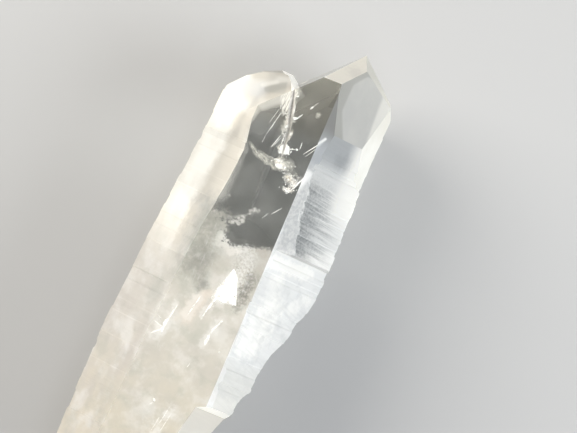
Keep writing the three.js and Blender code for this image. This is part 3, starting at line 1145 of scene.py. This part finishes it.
def spindle():
    shape = bmesh.new()
    chain = [
        shape.verts.new((0, row / ALONG, math.sin(math.pi * min(row, ALONG - row) / ALONG)))
        for row in range(ALONG + 1)
    ]
    edges = [shape.edges.new(pair) for pair in zip(chain, chain[1:])]
    bmesh.ops.spin(
        shape, geom=chain + edges, cent=CENTRE, axis=(0, 1, 0), angle=math.tau, steps=ROUND, use_merge=True,
    )
    bmesh.ops.remove_doubles(shape, verts=shape.verts, dist=TINY)
    return shape


def lumpiness(outward, y, round_pitch, along_pitch, shift):
    spot = Vector((outward.x * round_pitch, y / MM * along_pitch, outward.z * round_pitch))
    return noise.noise(spot + shift)


# %% Milk: one shell
def milk_shell(name, top_up, inset, lumps, seed):
    shape = spindle()
    low_y, foot_y, high_y = [place(0, up).y for up in (BOTTOM_UP, FOOT_UP, top_up)]
    centres = {}
    for vertex in shape.verts:
        share = vertex.co.y
        y = low_y + (high_y - low_y) * share
        row = round(share * ALONG)
        if row not in centres:
            centres[row] = middle(max(y, foot_y))
        centre = Vector((centres[row].x, y, centres[row].z))
        outward = Vector((vertex.co.x, 0, vertex.co.z))
        if outward.length < TINY / 10:
            vertex.co = centre
            continue
        outward.normalize()
        fullness = min(1.0, share * FOOT_TAPER) ** 0.5 * min(1.0, (1.0 - share) * END_TAPER) ** 0.5
        reach = SKIN.ray_cast(Vector((centre.x, max(y, foot_y), centre.z)), outward)[3] or FAR
        bulge = lumpiness(outward, y, 2, 0.16, Vector((seed, 0, 0)))
        fine = lumpiness(outward, y, 6, 0.5, Vector((0, seed, 0)))
        lump = (abs(bulge) + FINE_SHARE * abs(fine)) * lumps
        vertex.co = centre + outward * max(THINNEST, (reach - inset - lump) * fullness)
    tuck_in(shape, inset * 0.8)
    bmesh.ops.recalc_face_normals(shape, faces=shape.faces)
    for face in shape.faces:
        face.smooth = True
    return show(shape, name, [])


# %% Finish: milk
def ragged_fade(where, full, gone, ragged, size):
    """1 up to the level `full` and 0 from the level `gone`, with a torn edge between them."""
    inputs = {"Place": where, "Size": size, "Low": 0.2, "High": 0.8}
    torn = add_node(where.tree, "Group", inputs, node_tree=CLOUDS) - 0.5
    return ramp(split(where)[1] + torn * ragged, gone, full)


RAGGED_FADE = new_group("ragged_fade", ragged_fade, "Fade", Full=40.0, Gone=60.0, Ragged=12.0, Size=7.0)


def milk_finish(name, strength, full, gone, ragged, patches):
    finish = matt(name)
    colour = paint(finish.pattern(MILK_COLOUR), (finish.clouds(4.0, 0.45, 0.7), MILK_WHITE, 0.4))
    fade = finish.pattern(RAGGED_FADE, Full=full, Gone=gone, Ragged=ragged, Size=3.0)
    patchy = spread(finish.clouds(patches, 0.28, 0.60), strength * 0.6, strength)
    return finish.made(colour, alpha=patchy * fade)


# Each shell's name, its top, how far it lies under the skin, the size of its lumps, how much it
# hides, where it is full and gone along the crystal, and how ragged its end is.
MILK_SHELLS = [
    ("milk_outer", 62.5, 0.9, 0.5, 0.85, 53.0, 59.5, 5.0),
    ("milk_middle", 61.0, 2.6, 1.2, 0.95, 52.0, 58.5, 5.0),
    ("milk_core", 58.0, 5.0, 2.0, 1.00, 46.0, 54.0, 6.0),
]
for seed, (name, top_up, inset, lumps, strength, full, gone, ragged) in enumerate(MILK_SHELLS, 1):
    shell = milk_shell(name, top_up, inset * MM, lumps * MM, seed)
    shell.data.materials.append(milk_finish(name, strength, full, gone, ragged, 3.0 + seed))

# %% [markdown]
# ## Flaws in the clear end
#
# Below the notch the two crystals grew against each other, and the join is full of healed cracks.
# They are thin and catch the light. Each crack is a splinter: a long thin closed spindle, pulled
# out of line here and there. Where cracks cross there are crumbs and flakes. Chance places the
# flakes and bends the cracks, and it is seeded, so that they are the same each time.

# %% Flaws: splinters, flakes and crumbs
random.seed(7)
noise.seed_set(7)
BALL = 0.5


def jagged(shape, verts, amount, pitch, seed):
    for vertex in verts:
        shift = noise.noise_vector(vertex.co / (pitch * MM) + Vector((seed, seed, seed)))
        vertex.co += shift * amount * MM


def set_down(shape, made, size, turn, where):
    """Sizes a small body, turns it, and brings it from the middle of the world to its place."""
    bmesh.ops.scale(shape, verts=made, vec=size)
    bmesh.ops.rotate(shape, verts=made, cent=CENTRE, matrix=turn.to_matrix())
    bmesh.ops.translate(shape, verts=made, vec=where)


def splinter(shape, start, end, width, thickness, seed):
    start, end = place(*start), place(*end)
    along = end - start
    made = bmesh.ops.create_uvsphere(shape, u_segments=8, v_segments=14, radius=BALL)["verts"]
    size = (width * MM, thickness * MM, along.length)
    set_down(shape, made, size, along.to_track_quat("Z", "Y"), (start + end) / 2)
    jagged(shape, made, 0.35 * width, 0.9, seed)


def flakes(shape, centre, spread, count, size):
    for _ in range(count):
        made = bmesh.ops.create_icosphere(shape, subdivisions=1, radius=BALL)["verts"]
        across = size * MM * random.uniform(0.4, 1.0)
        sides = (across, across * random.uniform(0.3, 1.0), across * 0.18)
        turn = Euler([random.uniform(-0.9, 0.9), random.uniform(-0.9, 0.9), random.uniform(0, math.tau)])
        shift = Vector([random.gauss(0, reach * MM) for reach in spread])
        set_down(shape, made, sides, turn, place(*centre) + shift)


def crumb(shape, centre, size, seed):
    made = bmesh.ops.create_icosphere(shape, subdivisions=4, radius=BALL)["verts"]
    set_down(shape, made, [side * MM for side in size], Euler(), place(*centre))
    jagged(shape, made, 0.35 * min(size), 0.5, seed)
    jagged(shape, made, 0.12 * min(size), 0.2, seed)


# %% [markdown]
# A crack sends back the light that reaches it from every side. Its own faint glow stands for the
# light that the renderer would need thousands of rays to bring there.

# %% Finish: flaws
FLAW_WHITE = (0.98, 0.97, 0.94, 1)
FLAW = matt("flaw").made(FLAW_WHITE, 0.35, glow=0.22, glow_colour=FLAW_WHITE)

# %% Cracks below the notch: where they are
# Each splinter runs from one place to another and is so many millimetres wide.
SPLINTERS = [
    ((-9.9, 83.7, 1.5), (-10.9, 78.3, 3.4), 0.13),
    ((-10.1, 83.4, 1.6), (-10.5, 79.6, 3.4), 0.10),
    ((-10.6, 83.9, 1.4), (-11.3, 80.6, 3.0), 0.10),
    ((-10.9, 78.3, 3.4), (-10.9, 76.6, 3.8), 0.08),
    ((-9.9, 83.6, 1.5), (-8.4, 82.6, 2.4), 0.12),
    ((-11.2, 86.1, 1.0), (-10.4, 83.8, 1.6), 0.30),
    ((-8.2, 86.2, 0.9), (-7.6, 82.8, 2.0), 0.16),
    ((-9.0, 87.6, 0.9), (-9.0, 84.6, 1.8), 0.10),
    ((-9.7, 87.4, 0.9), (-9.4, 84.4, 1.8), 0.10),
    ((-7.7, 80.4, 2.6), (-7.5, 77.8, 3.2), 0.16),
    ((-8.3, 79.5, 2.2), (-9.0, 76.6, 3.0), 0.20),
    ((-8.1, 79.0, 2.4), (-8.7, 76.9, 3.0), 0.10),
    ((-3.0, 77.9, 2.0), (0.0, 82.5, 0.9), 0.18),
    ((-2.5, 77.6, 2.4), (-1.0, 80.2, 1.6), 0.10),
    ((-3.9, 78.4, 2.2), (-4.1, 79.9, 2.0), 0.14),
    ((-6.4, 77.6, 2.8), (-4.6, 78.1, 2.6), 0.18),
    ((-7.05, 83.1, 2.0), (-6.2, 84.7, 2.0), 0.26),
    ((-5.4, 86.1, 1.4), (-4.9, 86.9, 1.4), 0.34),
    ((-5.0, 86.8, 1.4), (-4.4, 88.0, 1.4), 0.08),
    ((-3.7, 65.2, 3.0), (-2.3, 67.1, 2.6), 0.12),
    ((-4.9, 63.8, 3.4), (-4.2, 65.2, 3.0), 0.08),
    ((-1.9, 71.4, 1.0), (-0.9, 74.4, 0.9), 0.22),
    ((-2.4, 70.6, 1.4), (-1.4, 72.4, 1.0), 0.16),
    ((-3.4, 70.5, 1.8), (-2.3, 70.3, 1.6), 0.20),
]
SPLINTER_THICKNESS = 0.12
# Each crumb's place, its size and its seed.
CRUMBS = [
    ((-6.6, 77.3, 3.0), (1.9, 1.9, 1.0), 3.0),
    ((-4.4, 78.2, 2.4), (0.5, 0.4, 0.4), 5.0),
    ((-6.1, 74.0, 3.0), (1.5, 0.9, 0.6), 8.0),
    ((-7.0, 74.9, 3.0), (1.2, 0.5, 0.5), 9.0),
    ((-8.0, 81.6, 2.4), (0.9, 1.1, 0.6), 11.0),
]
# Each swarm's middle and spread, how many flakes it has and how large they are.
FLAKES = [
    ((-8.0, 82.6, 2.4), (0.4, 1.0, 0.3), 26, 0.42),
    ((-7.3, 79.6, 3.0), (0.3, 1.4, 0.4), 24, 0.36),
    ((-6.5, 77.2, 3.2), (0.8, 0.6, 0.4), 36, 0.45),
    ((-5.6, 74.2, 3.2), (0.9, 0.6, 0.4), 34, 0.45),
    ((-3.4, 72.4, 3.0), (0.9, 0.7, 0.4), 34, 0.40),
    ((-2.9, 70.6, 2.6), (0.7, 0.4, 0.3), 16, 0.40),
    ((-9.2, 88.4, 1.2), (0.5, 0.9, 0.3), 20, 0.40),
]
CRACK_MARGIN = 0.25 * MM

# %% Cracks: put together
shape = bmesh.new()
for index, (start, end, width) in enumerate(SPLINTERS):
    splinter(shape, start, end, width, SPLINTER_THICKNESS, index * 1.7)
for row in CRUMBS:
    crumb(shape, *row)
for row in FLAKES:
    flakes(shape, *row)
tuck_in(shape, CRACK_MARGIN)
show(shape, "cracks", [FLAW])

# %% [markdown]
# Between the splinters the cracks are feathers: thin curved sheets that healed in a fine broken
# net. Each is a flat closed lens, bent out of true, and its finish is the net. Every vertex keeps
# how near it is to the rim, so that the sheet can fade out there.

# %% Feathers and veils
SHEET_MARGIN = 0.3 * MM
BEND = 0.5
BEND_PITCH = 2.5


def lens(shape, centre, size, turn, seed):
    made = bmesh.ops.create_icosphere(shape, subdivisions=4, radius=BALL)["verts"]
    rim = shape.verts.layers.float["rim"]
    for vertex in made:
        vertex[rim] = min(1.0, vertex.co.xy.length / BALL)
    turned = Euler([math.radians(angle) for angle in turn])
    set_down(shape, made, [side * MM for side in size], turned, place(*centre))
    jagged(shape, made, BEND, BEND_PITCH, seed)


def sheets(name, rows, material, first_seed):
    shape = bmesh.new()
    shape.verts.layers.float.new("rim")
    for index, (centre, size, turn) in enumerate(rows):
        lens(shape, centre, size, turn, first_seed + index * 2.1)
    tuck_in(shape, SHEET_MARGIN)
    show(shape, name, [material])


# %% Feathers
FEATHER_BEIGE = (0.80, 0.74, 0.66, 1)
# Each sheet's place, its size, and its turn in degrees.
FEATHERS = [
    ((-8.1, 82.2, 2.2), (2.6, 2.0, 0.3), (0, 20, -32)),
    ((-6.9, 79.8, 2.8), (1.2, 3.8, 0.3), (0, -20, -4)),
    ((-6.6, 77.3, 3.2), (3.2, 3.0, 0.4), (10, 0, 0)),
    ((-9.3, 87.0, 1.2), (2.6, 5.0, 0.3), (0, 30, -6)),
    ((-6.0, 74.5, 3.2), (3.6, 2.2, 0.4), (0, 10, -35)),
    ((-3.5, 72.6, 2.8), (3.6, 2.6, 0.4), (10, -10, -20)),
    ((-2.0, 72.4, 1.6), (1.8, 4.0, 0.3), (0, 30, -24)),
    ((-3.0, 70.6, 2.4), (2.6, 1.3, 0.3), (10, 0, 12)),
]


def feather_finish():
    finish = matt("bright_feather")
    net = finish.lace(0.8) * 0.9
    patches = finish.clouds(1.44, 0.42, 0.56) * finish.clouds(0.35, 0.40, 0.62) * 0.9
    islands = finish.clouds(2.0, 0.34, 0.50)
    colour = blend(finish.clouds(0.8, 0.4, 0.6), FLAW_WHITE, FEATHER_BEIGE)
    seen = (net | patches | 0.25) * islands * finish.away_from_rim()
    # the glow is painted light, as for the cracks
    return finish.made(colour, alpha=seen, glow=0.22, glow_colour=colour)


sheets("feathers", FEATHERS, feather_finish(), 1.0)

# %% [markdown]
# Veils are wider and fainter than feathers: a breath of fine fibres, without a net.

# %% Veils
VEIL_CREAM = (0.74, 0.72, 0.65, 1)
VEILS = [
    ((-12.0, 75.0, 3.0), (3.4, 1.3, 0.3), (10, 0, -30)),
    ((-9.8, 74.2, 3.2), (4.6, 2.0, 0.3), (12, 0, -14)),
    ((-7.4, 74.0, 3.2), (4.4, 2.2, 0.3), (12, 0, -10)),
    ((-4.8, 74.6, 3.4), (6.0, 3.6, 0.4), (8, 5, -20)),
    ((-12.4, 65.3, 2.4), (0.8, 0.7, 0.4), (0, 0, 0)),
    ((-3.4, 85.9, 1.6), (1.3, 1.3, 0.5), (0, 0, 0)),
    ((-8.0, 82.2, 2.6), (3.4, 5.6, 0.4), (0, 10, -10)),
    ((-9.6, 87.6, 1.6), (3.4, 4.0, 0.3), (0, 20, 0)),
]


def veil_finish():
    finish = matt("veil")
    fibres = spread(finish.lines(1.6, 0.32, 0.36, 0.60, 0.55), 0.30, 1.0)
    seen = (finish.clouds(1.6, 0.28, 0.58) * fibres * 0.85 | 0.16) * finish.away_from_rim()
    return finish.made(VEIL_CREAM, alpha=seen)


sheets("veils", VEILS, veil_finish(), 40.0)

# %% [markdown]
# ## Bright streaks in the milk
#
# Long flat cracks run up through the milk and flash white. They could be painted on the skin, but
# real ones have an edge and a depth, so they are thin bodies just below it. The largest is a wedge
# near the right ridge.

# %% Finish: flashing cracks
def flash_finish(name, grain_high, least, share, glow):
    """Fine grain along the crystal, at least `least` between the grains, and `share` in all."""
    finish = matt(name)
    grains = finish.lines(0.35, 2.2, 0.25, grain_high, 0.1)
    seen = (grains | finish.clouds(1.1, 0.30, 0.52) | least) * share * finish.away_from_rim()
    # the glow is painted light: it stands for the light that the cracks send back
    return finish.made(FLAW_WHITE, alpha=seen, glow=glow, glow_colour=FLAW_WHITE)


# %% The wedge
WEDGE = ((-7.8, 45.6), (-2.1, 46.2), (-4.4, 51.8), (-5.9, 53.2))
WEDGE_DEPTH = 0.04
WEDGE_THICK = 0.4 * MM
WEDGE_STEPS = 16
SOFT_SHARE = 0.34
STREAK_MARGIN = 0.03 * MM


def wedge():
    """A sheet with four corners, given from its lower left one, that fades on its left and below."""
    lower_left, lower_right, upper_right, upper_left = [place(*corner, WEDGE_DEPTH) for corner in WEDGE]
    shape = bmesh.new()
    rim = shape.verts.layers.float.new("rim")
    bmesh.ops.create_grid(shape, x_segments=WEDGE_STEPS, y_segments=WEDGE_STEPS, size=0.5)
    for vertex in shape.verts:
        right, top = vertex.co.x + 0.5, vertex.co.y + 0.5
        vertex[rim] = 1.0 - min(1.0, right / SOFT_SHARE, top / SOFT_SHARE)
        below = lower_left.lerp(lower_right, right)
        above = upper_left.lerp(upper_right, right)
        vertex.co = below.lerp(above, top)
    extruded = bmesh.ops.extrude_face_region(shape, geom=shape.faces[:])["geom"]
    moved = [item for item in extruded if isinstance(item, bmesh.types.BMVert)]
    bmesh.ops.translate(shape, verts=moved, vec=(0, 0, -WEDGE_THICK))
    bmesh.ops.recalc_face_normals(shape, faces=shape.faces)
    jagged(shape, shape.verts, 0.12, 0.9, 3.0)
    tuck_in(shape, STREAK_MARGIN)
    show(shape, "wedge", [flash_finish("solid_flash", 0.60, 0.74, 0.90, 0.14)])


wedge()

# %% Streaks: where they are
# Each streak runs from one place to another, just under the skin, and is so many millimetres wide.
STREAKS = [
    ((-4.4, 41.2), (-4.9, 37.2), 0.58),
    ((-3.9, 42.6), (-4.3, 40.6), 0.32),
    ((-3.6, 43.4), (-3.9, 42.2), 0.43),
    ((-12.4, 42.6), (-12.9, 39.0), 0.25),
    ((-12.9, 39.4), (-13.3, 36.4), 0.79),
    ((-13.4, 38.2), (-12.9, 36.2), 0.58),
    ((-13.2, 37.4), (-15.2, 37.9), 0.22),
    ((-13.4, 36.8), (-14.9, 35.4), 0.32),
    ((-13.9, 38.6), (-15.0, 39.2), 0.14),
    ((-6.3, 46.8), (-7.0, 43.6), 0.43),
    ((-6.9, 44.6), (-7.3, 41.6), 0.22),
    ((-5.8, 46.4), (-6.2, 44.8), 0.18),
    ((-9.2, 45.6), (-9.9, 41.4), 0.22),
    ((-15.6, 53.6), (-16.2, 51.0), 0.29),
    ((-9.2, 24.8), (-8.6, 24.0), 0.43),
    ((-8.9, 23.8), (-9.4, 23.2), 0.22),
    ((-5.6, 24.6), (-6.3, 20.0), 0.16),
    ((-4.8, 23.8), (-5.4, 19.4), 0.13),
    ((-6.6, 22.0), (-7.0, 18.6), 0.14),
    ((-1.8, 37.4), (-1.3, 37.8), 0.36),
    ((-5.6, 33.4), (-5.9, 32.4), 0.13),
]
STREAK_DEPTH = 0.12
STREAK_THICKNESS = 0.3

# %% Streaks: put together
shape = bmesh.new()
for index, (start, end, width) in enumerate(STREAKS):
    splinter(shape, (*start, STREAK_DEPTH), (*end, STREAK_DEPTH), width, STREAK_THICKNESS, 20 + index * 1.3)
tuck_in(shape, STREAK_MARGIN)
show(shape, "streaks", [flash_finish("wispy_flash", 0.80, 0.1, 0.62, 0.06)])

# %% [markdown]
# ## The ground
#
# A plain pale table, a hair under the crystal so that the two surfaces don't fight.

# %% Ground
GROUND_GAP = 0.2 * MM
GROUND_SIZE = 3.0
TABLE_GREY = (0.47, 0.47, 0.47, 1)

shape = bmesh.new()
bmesh.ops.create_grid(shape, x_segments=1, y_segments=1, size=GROUND_SIZE / 2)
bmesh.ops.translate(shape, verts=shape.verts, vec=(0, 0, -GROUND_GAP))
floor = body(shape, "ground", [Finish("ground").made(TABLE_GREY)])
